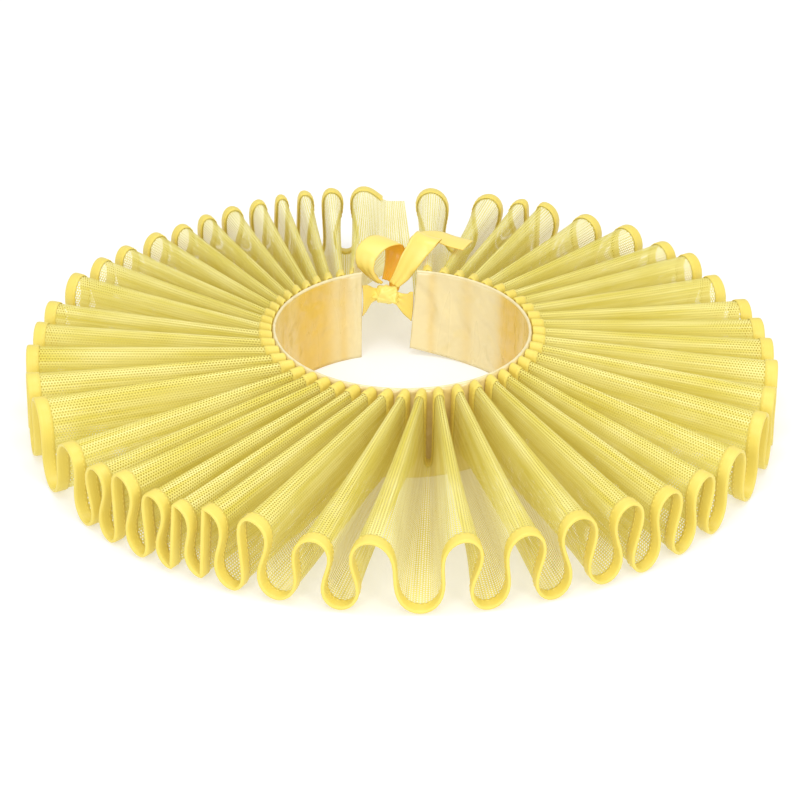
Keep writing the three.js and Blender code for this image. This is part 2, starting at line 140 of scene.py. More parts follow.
class Value:
    """A socket that carries a number or a colour, with the arithmetic that the patterns use."""

    def __init__(self, tree, socket):
        self.tree = tree
        self.socket = socket

    def math(self, operation, *others):
        inputs = dict(enumerate((self, *others)))
        return make(self.tree, "ShaderNodeMath", {"operation": operation}, inputs)

    def __add__(self, other):
        return self.math("ADD", other)

    __radd__ = __add__

    def __mul__(self, other):
        return self.math("MULTIPLY", other)

    __rmul__ = __mul__

    def __sub__(self, other):
        return self.math("SUBTRACT", other)

    def __rsub__(self, other):
        return (self * -1) + other

    def __truediv__(self, other):
        return self.math("DIVIDE", other)

    def ramp(self, low, high):
        """0 below low, 1 above high, and smooth between."""
        values = {"Value": self, "From Min": low, "From Max": high}
        return make(self.tree, "ShaderNodeMapRange", {"interpolation_type": "SMOOTHSTEP"}, values, "Result")


def make(tree, kind, settings, values, output=0):
    """Any node: its settings first, then the values or links of its sockets."""
    node = tree.nodes.new(kind)
    for key, value in settings.items():
        setattr(node, key, value)
    for key, value in values.items():
        if isinstance(value, Value):
            tree.links.new(value.socket, node.inputs[key])
        else:
            node.inputs[key].default_value = value
    return Value(tree, node.outputs[output])


# %% Colours and shader sockets
MIX_FACTOR, MIX_FIRST, MIX_SECOND, MIX_RESULT = 0, 6, 7, 2
# The colour of the painted glow that the cloth gives off in place of light let through it.
GLOW_COLOUR = (255, 228, 120)


def linear(red, green, blue):
    """A screen colour from 0 to 255 as the linear colour that the shader wants."""
    parts = [c / 255 for c in (red, green, blue)]
    return tuple(c / 12.92 if c <= 0.04045 else ((c + 0.055) / 1.055) ** 2.4 for c in parts) + (1,)


def blended(factor, first, second):
    values = {MIX_FACTOR: factor, MIX_FIRST: first, MIX_SECOND: second}
    return make(factor.tree, "ShaderNodeMix", {"data_type": "RGBA"}, values, MIX_RESULT)


def new_finish(name, roughness, specular):
    material = bpy.data.materials.new(name)
    material.use_nodes = True
    shader = material.node_tree.nodes["Principled BSDF"]
    shader.inputs["Roughness"].default_value = roughness
    shader.inputs["Specular IOR Level"].default_value = specular
    return material, material.node_tree, shader


def feed(value, shader, socket):
    value.tree.links.new(value.socket, shader.inputs[socket])


def raise_relief(height, distance, strength, shader):
    values = {"Height": height, "Distance": distance, "Strength": strength}
    feed(make(height.tree, "ShaderNodeBump", {}, values, "Normal"), shader, "Normal")


def painted_glow(shader, strength):
    """A painted glow: even emission in place of the golden light that thin yellow cloth lets through."""
    shader.inputs["Emission Color"].default_value = linear(*GLOW_COLOUR)
    shader.inputs["Emission Strength"].default_value = strength


# %% Where a pattern lies on its cloth


def cloth_place(tree):
    """Where a point is on its cloth, in millimetres: along the strip and across it."""
    place = make(tree, "ShaderNodeUVMap", {"uv_map": "cloth"}, {})
    return [make(tree, "ShaderNodeSeparateXYZ", {}, {"Vector": place}, axis) for axis in ("X", "Y")]


def soft_noise(tree, scale, detail):
    """Slow change over the piece, from its own Object coordinates in metres."""
    place = make(tree, "ShaderNodeTexCoord", {}, {}, "Object")
    return make(tree, "ShaderNodeTexNoise", {}, {"Vector": place, "Scale": scale, "Detail": detail}, "Fac")


def streaks(tree, along, across, floats):
    """Drawn-out noise. floats: streaks per millimetre along the cloth and across it."""
    place = make(tree, "ShaderNodeCombineXYZ", {}, {"X": along * floats[0], "Y": across * floats[1]})
    return make(tree, "ShaderNodeTexNoise", {}, {"Vector": place, "Scale": 1.0, "Detail": 3.0}, "Fac")


print("glow colour", [round(part, 3) for part in linear(*GLOW_COLOUR)])


# %% [markdown]
# Net is knotted thread with six-sided holes. They could be cut through the mesh, but each is a little under
# a millimetre wide, and there are a quarter of a million. So they are a pattern in the cloth's own measure:
# the distance to the nearest hole's middle, on two interleaved grids, decides where thread is. The holes
# let light and the layers below show.

# %% Net finish
HOLE_PITCH = 1.45
HOLE_ROW = HOLE_PITCH * math.sqrt(3)
HOLE_EDGE, THREAD_EDGE = 0.34, 0.45
NET_LIGHT = linear(230, 223, 146)
NET_DEEP = linear(206, 193, 74)
GRID_ORIGIN = 1000
NET_ROUGHNESS, NET_SPECULAR = 0.6, 0.3
NET_STREAKS = (0.4, 0.012)
NET_CLOUDS_PER_METRE = 30.0
STREAK_SHARE, CLOUD_SHARE = 0.7, 0.3
NET_TONE = (0.3, 0.7)
NET_THREAD_RISE = 0.1
NET_RELIEF, NET_RELIEF_STRENGTH = 0.0006, 0.5
# Strength of the net's painted glow, an even emission in place of light let through its layers.
NET_GLOW = 0.11


def hole_distance(along, across, shift):
    column = (across / HOLE_PITCH + (GRID_ORIGIN + shift / 2)).math("FRACT")
    row = (along / HOLE_ROW + (GRID_ORIGIN + shift / 2)).math("FRACT")
    u = ((column - 0.5) * HOLE_PITCH).math("ABSOLUTE")
    v = ((row - 0.5) * HOLE_ROW).math("ABSOLUTE")
    return u.math("MAXIMUM", v * (math.sqrt(3) / 2) + u * 0.5)


def net_finish():
    material, tree, shader = new_finish("net", NET_ROUGHNESS, NET_SPECULAR)
    along, across = cloth_place(tree)
    distance = hole_distance(along, across, 0).math("MINIMUM", hole_distance(along, across, 1))
    thread = distance.ramp(HOLE_EDGE, THREAD_EDGE)
    feed(thread, shader, "Alpha")
    streak = streaks(tree, along, across, NET_STREAKS)
    cloud = soft_noise(tree, NET_CLOUDS_PER_METRE, 2.0)
    tone = (streak * STREAK_SHARE + cloud * CLOUD_SHARE).ramp(*NET_TONE)
    feed(blended(tone, NET_LIGHT, NET_DEEP), shader, "Base Color")
    raise_relief(thread * NET_THREAD_RISE + streak, NET_RELIEF, NET_RELIEF_STRENGTH, shader)
    painted_glow(shader, NET_GLOW)
    return material


net = net_finish()
print("net: %d shader nodes" % len(net.node_tree.nodes))

# %% [markdown]
# Satin is woven so that long threads float side by side. It shines, and shows fine ribs and soft streaks
# along the floats, which run lengthways in ribbon and stand upright on the band. The weave is too fine to
# model, so it is bump and a slight change of roughness. The binding, the neckband and the bow share one
# recipe in three colourings, because all three are the same cloth. On the bow and the band a stored share
# paints shade into the colour as deep golden; where the share is low, the pale tone paints light and sheen.

# %% Satin finishes
LENGTHWAYS = (0.05, 1.6)
CROSSWAYS = (0.05, 0.008)
WRINKLES_PER_METRE = 90.0
SATIN_CLOUDS_PER_METRE = 60.0
RIB_PITCH = 0.45
RIB_RISE = 0.25
ROUGHNESS_CHANGE = 0.2
GOLD_CHANGE = 0.06
SATIN_RELIEF, SATIN_RELIEF_STRENGTH = 0.0001, 0.35


def satin_finish(name, light, deep, roughness, specular, wrinkle, glow, floats, painted_shade=None):
    """floats: as in streaks. The last argument, if given, names the attribute that says where shade is
    painted.
    """
    material, tree, shader = new_finish(name, roughness, specular)
    along, across = cloth_place(tree)
    rib = (across * (2 * math.pi / RIB_PITCH)).math("SINE")
    streak = streaks(tree, along, across, floats)
    if painted_shade:
        shade_values = make(tree, "ShaderNodeAttribute", {"attribute_name": painted_shade}, {}, "Fac")
        tone = (streak - 0.5) * GOLD_CHANGE + shade_values
    else:
        tone = (streak + soft_noise(tree, SATIN_CLOUDS_PER_METRE, 2.0)) * 0.5
    feed(blended(tone, light, deep), shader, "Base Color")
    feed(streak * ROUGHNESS_CHANGE + (roughness - ROUGHNESS_CHANGE / 2), shader, "Roughness")
    crumple = soft_noise(tree, WRINKLES_PER_METRE, 1.5) * wrinkle
    raise_relief(rib * RIB_RISE + streak + crumple, SATIN_RELIEF, SATIN_RELIEF_STRENGTH, shader)
    painted_glow(shader, glow)
    return material


# The glow of every satin below is a painted glow: an even emission in place of light let through the cloth.
binding_satin = satin_finish(
    "binding_satin", light=linear(230, 215, 116), deep=linear(222, 197, 74),
    roughness=0.42, specular=0.4, wrinkle=4, glow=0.06, floats=LENGTHWAYS)
# On the band the pale tone is painted sheen and the deep golden tone is painted shade, mixed by its stored
# share.
band_satin = satin_finish(
    "band_satin", light=linear(228, 214, 166), deep=linear(220, 182, 70),
    roughness=0.28, specular=0.9, wrinkle=100, glow=0.04, floats=CROSSWAYS, painted_shade="painted_shade")
# The ribbon's pale tone paints its lit side and its deep golden tone paints shade.
ribbon_satin = satin_finish(
    "ribbon_satin", light=linear(238, 222, 122), deep=linear(240, 184, 24),
    roughness=0.34, specular=0.6, wrinkle=12, glow=0.06, floats=LENGTHWAYS, painted_shade="painted_shade")
print("satins:", binding_satin.name, band_satin.name, ribbon_satin.name)

# %% [markdown]
# Sewing thread is twisted, so its shade changes every millimetre or so. A plain white floor would turn grey
# under the ruffle, where little light reaches it. A stronger lamp would bleach the cloth, so the floor gives
# a little light of its own, like a white table lit from below.

# %% Thread and floor finishes
THREAD_SHADES_PER_METRE = 900.0
FLOOR_CLOUDS_PER_METRE = 3.0
FLOOR_GLOW = 0.4


def clouded_finish(name, roughness, specular, clouds, light, deep):
    material, tree, shader = new_finish(name, roughness, specular)
    feed(blended(soft_noise(tree, clouds, 2.0), light, deep), shader, "Base Color")
    return material


thread = clouded_finish(
    "sewing_thread", 0.55, 0.4, THREAD_SHADES_PER_METRE, linear(252, 236, 140), linear(240, 216, 96))
pale_floor = clouded_finish(
    "pale_floor", 0.9, 0.2, FLOOR_CLOUDS_PER_METRE, linear(212, 212, 212), linear(208, 208, 208))
floor_shader = pale_floor.node_tree.nodes["Principled BSDF"]
floor_shader.inputs["Emission Color"].default_value = (1, 1, 1, 1)
floor_shader.inputs["Emission Strength"].default_value = FLOOR_GLOW
floor.data.materials.append(pale_floor)
print("finishes:", thread.name, pale_floor.name)

# %% [markdown]
# The ruffle is one strip, sewn round the band in waves. A loop could space the waves evenly, but no maker's
# waves are even, and the photograph shows wide ones at the front and crowded ones at the back left. So
# every wave has its own row: where its crest and its trough stand on the outer edge, and how far they rise.

# %% Wave table
FOLD_INNER_RADIUS = 65.4
OUTER_CREST_HEIGHT = 38.0
OUTER_TROUGH_HEIGHT = 1.4
INNER_CREST_HEIGHT = 49.6
INNER_TROUGH_HEIGHT = 10.0
LEAST_TROUGH_HEIGHT = 1.2
BINDING_WIDTH = 6.4
LAST_SEWN_TROUGH = 172.6

# crest azimuth, azimuth of the trough after it, lift of the crest, lift of the trough
WAVES = np.array([
    (-173.1, -170.4, 1.6, 0.2),
    (-167.5, -165.3, 1.8, 0.6),
    (-162.8, -160.9, 1.9, 0.0),
    (-158.7, -156.9, 1.4, 0.8),
    (-154.7, -152.4, 0.6, 0.3),
    (-149.6, -147.3, -0.1, 0.9),
    (-144.5, -142.5, -1.1, 0.2),
    (-139.7, -137.3, -2.4, 0.7),
    (-134.0, -131.0, -1.7, 0.0),
    (-126.9, -124.4, -1.3, 0.9),
    (-120.6, -117.4, -0.2, 0.4),
    (-113.0, -108.9, 1.4, 0.1),
    (-103.6, -101.0, -0.6, 0.8),
    (-97.0, -93.1, -1.7, 0.3),
    (-88.2, -84.2, 0.0, 0.0),
    (-79.2, -75.2, 0.0, 0.6),
    (-71.4, -64.2, -0.2, 0.0),
    (-58.0, -52.8, -3.0, 0.0),
    (-50.0, -46.6, -2.6, 0.0),
    (-44.3, -40.2, 2.1, 1.0),
    (-38.0, -34.5, -0.3, 1.7),
    (-33.6, -29.2, -0.4, 2.7),
    (-28.6, -24.0, 2.8, 1.2),
    (-21.6, -17.4, 3.4, 1.2),
    (-12.3, -8.4, -1.8, 0.5),
    (-4.4, 2.9, -0.4, 0.0),
    (9.0, 12.4, 0.1, 0.0),
    (17.9, 22.0, -0.1, 0.0),
    (25.7, 30.3, 3.1, 1.2),
    (34.2, 37.2, 2.2, 0.0),
    (42.0, 44.8, -0.5, 0.0),
    (49.8, 52.4, -2.3, 0.0),
    (58.4, 63.8, -2.6, 0.0),
    (69.8, 73.7, -1.1, 0.6),
    (77.4, 81.4, -0.1, 0.1),
    (86.6, 90.3, -0.6, 0.7),
    (94.1, 97.5, -1.1, 0.2),
    (101.0, 104.2, -1.1, 0.8),
    (107.5, 112.6, -0.9, 0.0),
    (117.5, 120.9, -1.8, 0.6),
    (124.4, 127.6, 1.6, 0.3),
    (130.8, 134.8, 0.3, 0.9),
    (138.7, 143.0, 1.3, 0.1),
    (147.1, 151.2, -0.4, 0.5),
    (155.3, 157.3, 0.8, 0.0),
    (159.1, 162.1, 0.1, 0.7),
    (165.0, 170.0, 0.2, 0.2),
    (175.2, 178.7, 0.7, 0.4),
])
# wave number, and the azimuth where that wave's crest is sewn to the band
SEWN_CRESTS = np.array([(1, -157.0), (13, -83.0), (27, 15.5), (30, 40.5), (36, 83.5), (48, 168.6)])
print("waves:", len(WAVES))

# %% [markdown]
# The crest and trough lines are straight folds, from where the strip is sewn to its outer edge. They could
# run straight at the neck's middle, but real ones slant where the waves were pushed aside, so each line has
# a start of its own at the band, and every radius between finds its place along it.

# %% Fold lines
INNER_SHARPNESS = 6.0
OUTER_SHARPNESS = 0.3
ROUND_SLOPE = 2.6
SHARPNESS_GAIN = 0.35


def share_of_width(radius):
    return (radius - FOLD_INNER_RADIUS) / (RUFFLE_RADIUS - FOLD_INNER_RADIUS)


def fold_lines(radius):
    """Distance round the circle and height of each crest and trough in turn, in millimetres."""
    share = share_of_width(radius)
    numbers = np.arange(1, len(WAVES) + 1)
    sewn = np.interp(numbers, SEWN_CRESTS[:, 0], SEWN_CRESTS[:, 1])
    sewn_trough = np.append((sewn[:-1] + sewn[1:]) / 2, LAST_SEWN_TROUGH)
    inner = np.radians(np.stack([sewn, sewn_trough], 1).ravel())
    outer = np.radians(WAVES[:, :2].ravel())
    slant = np.sin(inner - outer) * FOLD_INNER_RADIUS * (1 - share)
    around = (outer + np.arcsin(slant / radius)) * radius
    crest = OUTER_CREST_HEIGHT + WAVES[:, 2]
    trough = np.maximum(LEAST_TROUGH_HEIGHT, OUTER_TROUGH_HEIGHT + WAVES[:, 3])
    outer_height = np.stack([crest, trough], 1).ravel()
    inner_height = np.tile([INNER_CREST_HEIGHT, INNER_TROUGH_HEIGHT], len(WAVES))
    return around, inner_height + (outer_height - inner_height) * share


def fold_sharpness(radius):
    around, height = fold_lines(RUFFLE_RADIUS)
    slope = np.abs(np.diff(height)) / np.diff(around)
    outer = OUTER_SHARPNESS + SHARPNESS_GAIN * np.maximum(0, slope - ROUND_SLOPE) ** 2
    return INNER_SHARPNESS + (outer - INNER_SHARPNESS) * share_of_width(radius)


print("fold lines:", len(fold_lines(RUFFLE_RADIUS)[0]))

# %% [markdown]
# A fold is half a wave. A sine curve would be the plain way to draw it, but cloth keeps its length and
# bends evenly, so here its heading turns from level to its steepest and back. The steepest angle is
# searched for, so that each half wave ends exactly at the next fold line. Past upright it overhangs, which
# gives the drop shape of crowded waves. Very steep waves are squarer, so that their sides stay apart.

# %% Half waves
GENTLEST_SIDE, STEEPEST_SIDE = 0.4, 2.4
SEARCH_STEPS = 40
WALK_STEPS = 160
FOLD_STEPS = 18
CROWDED_SHARE, EVEN_SHARE = 0.7, 0.3


def half_waves(along, up, sharpness):
    """Points of every half wave, from (0, 0) to (along, up)."""
    u = (np.arange(WALK_STEPS) + 0.5) / WALK_STEPS
    bend = np.tanh(sharpness[:, None] * np.sin(np.pi * u)) / np.tanh(sharpness[:, None])
    low = np.full(len(along), GENTLEST_SIDE)
    high = np.full(len(along), STEEPEST_SIDE)
    rise = np.abs(up)
    for _ in range(SEARCH_STEPS):
        middle = (low + high) / 2
        heading = middle[:, None] * bend
        too_gentle = np.cos(heading).mean(1) * rise > along * np.sin(heading).mean(1)
        low = np.where(too_gentle, middle, low)
        high = np.where(too_gentle, high, middle)
    heading = low[:, None] * bend
    nought = np.zeros((len(along), 1))
    x = np.concatenate([nought, np.cumsum(np.cos(heading), 1)], 1)
    z = np.concatenate([nought, np.cumsum(np.sin(heading), 1)], 1)
    scale = rise / z[:, -1]
    even = np.arange(FOLD_STEPS + 1) / FOLD_STEPS
    stops = CROWDED_SHARE * (0.5 - 0.5 * np.cos(np.pi * even)) + EVEN_SHARE * even
    grid = np.arange(WALK_STEPS + 1) / WALK_STEPS
    xs = np.stack([np.interp(stops, grid, row) for row in x]) * scale[:, None]
    zs = np.stack([np.interp(stops, grid, row) for row in z]) * (scale * np.sign(up))[:, None]
    return xs, zs


# %% [markdown]
# The strip's loose end hangs at the back opening. It could be a piece of its own, but it is the same cloth,
# so the section just runs on from the first crest: it bends down and lies flat to its cut edge. The outer
# binding stops part of the way down, and the bare net goes on.

# %% Section with the loose end
# radius, distance of the cut edge to the right of the middle, and its height
FLAP_EDGE = np.array([(70, -26.4, 34), (112, 5.5, 32), (190, 0.6, 32)])
FLAP_BEND_SHARE = 0.62
FLAP_BEND_POWER = 1.2
BINDING_STOP = 0.46
EDGE_COLUMNS = 14
STOP_COLUMNS = 8


def loose_end(crest_x, crest_z, radius, reach, columns):
    """Points from `reach` of the way to the cut edge, back to just before the first crest."""
    edge_x = np.interp(radius, FLAP_EDGE[:, 0], FLAP_EDGE[:, 1])
    along = (-math.pi - math.asin(edge_x / radius)) * radius - crest_x
    drop = crest_z - np.interp(radius, FLAP_EDGE[:, 0], FLAP_EDGE[:, 2])
    share = np.linspace(reach, 0, columns, endpoint=False)
    bend = np.minimum(1, share / FLAP_BEND_SHARE) ** FLAP_BEND_POWER
    return crest_x + along * share, crest_z - drop * bend ** 2 * (3 - 2 * bend)


def section(radius, start):
    """The strip's section at one radius. start is 'crest', 'bend' or 'edge': where the strip begins."""
    around, height = fold_lines(radius)
    xs, zs = half_waves(np.diff(around), np.diff(height), fold_sharpness(radius))
    x = np.concatenate([around[:1], (around[:-1, None] + xs[:, 1:]).ravel()])
    z = np.concatenate([height[:1], (height[:-1, None] + zs[:, 1:]).ravel()])
    if start != "crest":
        reach, columns = (1, EDGE_COLUMNS) if start == "edge" else (BINDING_STOP, STOP_COLUMNS)
        end_x, end_z = loose_end(x[0], z[0], radius, reach, columns)
        x, z = np.concatenate([end_x, x]), np.concatenate([end_z, z])
    return x, z


def section_points(radius, start, offset=0.0):
    """The section as points in space, moved out along its normals by offset."""
    x, z = section(radius, start)
    run, rise = np.gradient(x), np.gradient(z)
    length = np.hypot(run, rise)
    x, z = x - rise / length * offset, z + run / length * offset
    angle = x / radius
    return np.stack([radius * np.sin(angle), -radius * np.cos(angle), z], -1)


def measure_along(radius, start):
    """How far along the strip each column lies, in millimetres."""
    x, z = section(radius, start)
    return np.concatenate([[0], np.cumsum(np.hypot(np.diff(x), np.diff(z)))])


print("length at the outer edge %.2f m" % (measure_along(RUFFLE_RADIUS, "edge")[-1] * MM))

# %% [markdown]
# Every cloth piece here is a grid: rows across the cloth and columns along it. A mesh from a grid needs a
# map in real millimetres, because the weave patterns read it, and a map stretched to a square would give
# each piece another thread size. A grid that closes on itself is a tube with two end faces, turned
# outwards.

# %% Grid meshes


def add_piece(name, mesh, material):
    mesh.materials.clear()
    mesh.materials.append(material)
    thing = bpy.data.objects.new(name, mesh)
    bpy.context.scene.collection.objects.link(thing)
    print("%s: %d faces" % (name, len(mesh.polygons)))
    return thing


def cells(grid):
    """The four corners of every cell of a grid."""
    corners = [grid[:-1, :-1], grid[:-1, 1:], grid[1:, 1:], grid[1:, :-1]]
    return np.stack(corners, 2).reshape(-1, 4, *grid.shape[2:])


def points_inwards(points, faces):
    """The signed volume under the faces tells: it is negative on a body that is inside out."""
    a, b, c, d = (points[faces[:, i]] for i in range(4))
    return np.einsum("ij,ij->", a, np.cross(b, c) + np.cross(c, d)) < 0


def grid_piece(name, points, cloth, material, tube=False):
    """points[row, column] and cloth[row, column] = (along, across), both in millimetres."""
    rows, columns = points.shape[:2]
    number = np.arange(rows * columns).reshape(rows, columns)
    flat = points.reshape(-1, 3)
    measured = cloth
    if tube:
        number = np.concatenate([number, number[:1]])
        gap = np.linalg.norm(points[0, 0] - points[-1, 0])
        measured = np.concatenate([cloth, cloth[-1:] + np.array([0.0, gap])])
    quads, corners = cells(number), cells(measured)
    ends = []
    if tube:
        ends = [number[:-1, 0], number[:-1, -1][::-1]]
        if points_inwards(flat, quads):
            quads, corners = quads[:, ::-1], corners[:, ::-1]
            ends = [end[::-1] for end in ends]
    mesh = bpy.data.meshes.new(name)
    mesh.from_pydata((flat * MM).tolist(), [], quads.tolist() + [end.tolist() for end in ends])
    flat_cloth = cloth.reshape(-1, 2)
    maps = np.concatenate([corners.reshape(-1, 2)] + [flat_cloth[end] for end in ends])
    mesh.uv_layers.new(name="cloth").data.foreach_set("uv", maps.ravel().astype(np.float32))
    mesh.shade_smooth()
    return add_piece(name, mesh, material)


def spread(along, across):
    """A map from a column of lengths along and a row of widths across."""
    return np.stack(np.broadcast_arrays(np.asarray(along)[None, :], np.asarray(across)[:, None]), -1)


# %% [markdown]
# The net is one long strip. It is a single thin sheet: a thread's thickness would not show, and two walls
# would spoil the see-through look. Pressing and handling left soft creases. Noise would spread them evenly,
# so they are listed one by one: each lies along a wave, on one of its sides, for part of the width.

# %% Net strip
NET_ROWS = 34
MEASURED_RADIUS = 126.0
BINDING_OVERLAP = 4.0
# wave, place in it from crest (0) to the next crest (1), first radius, last radius, half width, depth
CREASES = np.array([
    (2.3, 0.3, 90, 170, 0.10, 0.5), (4.7, 0.7, 85, 150, 0.09, -0.5), (7.2, 0.2, 100, 180, 0.10, 0.6),
    (9.6, 0.6, 80, 140, 0.08, 0.4), (11.3, 0.3, 110, 182, 0.10, -0.7), (13.8, 0.8, 90, 165, 0.09, 0.6),
    (15.2, 0.2, 95, 175, 0.10, 0.8), (17.4, 0.4, 100, 182, 0.12, -1.0), (18.2, 0.2, 80, 150, 0.08, 0.7),
    (19.7, 0.7, 110, 182, 0.10, 0.8), (21.3, 0.3, 90, 170, 0.09, -0.6), (23.2, 0.2, 85, 160, 0.08, 0.9),
    (24.6, 0.6, 100, 182, 0.10, -0.8), (25.2, 0.2, 90, 182, 0.09, 1.2), (26.3, 0.3, 80, 182, 0.08, -1.4),
    (26.7, 0.7, 95, 182, 0.07, 1.2), (27.3, 0.3, 90, 170, 0.09, 1.0), (28.7, 0.7, 85, 182, 0.08, -0.9),
    (29.3, 0.3, 100, 182, 0.10, 1.1), (31.2, 0.2, 80, 150, 0.09, 0.7), (32.7, 0.7, 105, 182, 0.10, -0.8),
    (33.3, 0.3, 90, 182, 0.12, 1.0), (35.6, 0.6, 95, 165, 0.09, 0.7), (37.3, 0.3, 85, 160, 0.10, -0.6),
    (39.4, 0.4, 100, 182, 0.12, 0.9), (41.7, 0.7, 90, 160, 0.09, 0.5), (43.3, 0.3, 95, 170, 0.10, -0.6),
    (45.6, 0.6, 90, 150, 0.08, 0.4), (47.3, 0.3, 85, 165, 0.10, 0.6), (48.2, 0.2, 100, 182, 0.10, 0.8),
    (12.2, 0.2, 95, 175, 0.06, 0.6), (14.6, 0.6, 85, 150, 0.05, -0.6), (16.2, 0.2, 100, 182, 0.06, 0.9),
    (16.8, 0.8, 90, 160, 0.05, -0.7), (17.8, 0.8, 100, 178, 0.06, 0.9), (18.7, 0.7, 95, 182, 0.05, -0.8),
    (19.2, 0.2, 85, 150, 0.05, 0.7), (20.3, 0.3, 100, 182, 0.05, 0.8), (20.8, 0.8, 90, 165, 0.06, -0.7),
    (22.2, 0.2, 95, 182, 0.05, -0.8), (22.7, 0.7, 85, 155, 0.06, 0.8), (23.8, 0.8, 100, 182, 0.05, -0.9),
    (24.2, 0.2, 90, 170, 0.05, 0.9), (25.4, 0.4, 95, 178, 0.05, -1.0), (25.7, 0.7, 85, 182, 0.06, 1.1),
    (26.1, 0.1, 100, 182, 0.04, 0.9), (27.7, 0.7, 90, 178, 0.05, -0.9), (28.2, 0.2, 85, 182, 0.05, 0.9),
    (29.7, 0.7, 95, 170, 0.05, -0.8), (30.3, 0.3, 85, 182, 0.06, 0.9), (30.8, 0.8, 100, 160, 0.05, -0.7),
    (31.7, 0.7, 95, 182, 0.06, -0.9), (32.2, 0.2, 90, 182, 0.05, 0.8), (34.2, 0.2, 85, 155, 0.06, 0.7),
    (34.8, 0.8, 100, 175, 0.05, -0.7), (36.2, 0.2, 90, 170, 0.06, 0.6), (38.4, 0.4, 95, 180, 0.06, -0.7),
    (40.2, 0.2, 90, 165, 0.05, 0.7), (42.6, 0.6, 95, 182, 0.06, 0.7), (44.2, 0.2, 85, 160, 0.05, -0.6),
])


def crease_depth(radius, columns, first):
    """How far the creases move each column out at one radius, in millimetres."""
    wave = 1 + (np.arange(columns) - first) / (2 * FOLD_STEPS)
    centre = CREASES[:, 0]
    start, stop, half, depth = CREASES[:, 2:].T
    fade = np.sin(np.pi * np.clip((radius - start) / (stop - start), 0, 1)) ** 0.7
    near = np.exp(-((wave[:, None] - centre) / half) ** 2)
    return (near * fade * depth).sum(1)


def net_strip():
    first = FOLD_INNER_RADIUS + BINDING_WIDTH - BINDING_OVERLAP
    last = RUFFLE_RADIUS - BINDING_WIDTH + BINDING_OVERLAP
    radii = np.linspace(first, last, NET_ROWS)
    along = measure_along(MEASURED_RADIUS, "edge")
    rows = [section_points(r, "edge", crease_depth(r, len(along), EDGE_COLUMNS)) for r in radii]
    return grid_piece("net_strip", np.array(rows), spread(along, radii), net)


net_piece = net_strip()
STRIP_LENGTH = measure_along(MEASURED_RADIUS, "edge")[-1] * MM
print("strip length %.2f m" % STRIP_LENGTH)

# %% [markdown]
# Each edge of the net is bound: a satin ribbon is folded over it lengthways and sewn through. A curve with
# a bevel would make a round cord of it. So a binding is the same section as the net, carried round a flat
# U: out on the upper face, over the edge and back.

# %% Bindings
# share of the width from the net's side to the folded edge, and distance from the strip's middle face
FOLDED_RIBBON = np.array([
    (0.0, 0.3), (0.02, 0.62), (0.25, 0.78), (0.55, 0.86), (0.84, 0.88), (0.96, 0.72), (1.0, 0.3),
    (1.0, -0.3), (0.96, -0.72), (0.84, -0.88), (0.55, -0.86), (0.25, -0.78), (0.02, -0.62), (0.0, -0.3),
])
OUTER_FULLNESS, INNER_FULLNESS = 1.0, 0.85


def binding(name, net_side, folded_edge, start, fullness):
    rows = []
    for share, offset in FOLDED_RIBBON:
        radius = net_side + (folded_edge - net_side) * share
        rows.append(section_points(radius, start, offset * fullness))
    along = measure_along((net_side + folded_edge) / 2, start)
    outline = FOLDED_RIBBON * [BINDING_WIDTH, 1]
    across = np.concatenate([[0], np.cumsum(np.hypot(*np.diff(outline, axis=0).T))])
    return grid_piece(name, np.array(rows), spread(along, across), binding_satin), along[-1] * MM


outer_net_side = RUFFLE_RADIUS - BINDING_WIDTH
inner_net_side = FOLD_INNER_RADIUS + BINDING_WIDTH
outer_edge, outer_length = binding("outer_edge_ribbon", outer_net_side, RUFFLE_RADIUS, "bend", OUTER_FULLNESS)
inner_edge, inner_length = binding(
    "inner_edge_ribbon", inner_net_side, FOLD_INNER_RADIUS, "crest", INNER_FULLNESS)
print("ribbon lengths: outer %.2f m, inner %.2f m" % (outer_length, inner_length))

# %% [markdown]
# Running stitches hold both bindings. Painted on they would lie flat, and a copy for each in the outliner
# would be thousands of objects. They repeat along a path, so Geometry Nodes make them: the path is cut into
# even steps, a thin bead goes on every step, turned the way the path runs, and the copies are made real.

# %% A Geometry Nodes tree


class Tree:
    """A Geometry Nodes tree with named inputs."""

    def __init__(self, name):
        self.group = bpy.data.node_groups.new(name, "GeometryNodeTree")
        self.group.interface.new_socket("Geometry", in_out="INPUT", socket_type="NodeSocketGeometry")
        self.group.interface.new_socket("Geometry", in_out="OUTPUT", socket_type="NodeSocketGeometry")
        self.inputs = self.group.nodes.new("NodeGroupInput")
        self.names = {}

    def input(self, name, kind):
        socket = self.group.interface.new_socket(name, in_out="INPUT", socket_type=kind)
        self.names[name] = socket.identifier
        return self.inputs.outputs[name]

    def node(self, kind, settings, links, output=0):
        node = self.group.nodes.new(kind)
        for key, value in settings.items():
            setattr(node, key, value)
        for key, value in links.items():
            if isinstance(value, bpy.types.NodeSocket):
                self.group.links.new(value, node.inputs[key])
            else:
                node.inputs[key].default_value = value
        return node.outputs[output]

    def finish(self, geometry, finish):
        real = self.node("GeometryNodeRealizeInstances", {}, {0: geometry})
        dressed = self.node("GeometryNodeSetMaterial", {}, {"Geometry": real, "Material": finish})
        output = self.group.nodes.new("NodeGroupOutput")
        self.group.links.new(dressed, output.inputs[0])


# %% A piece grown from paths


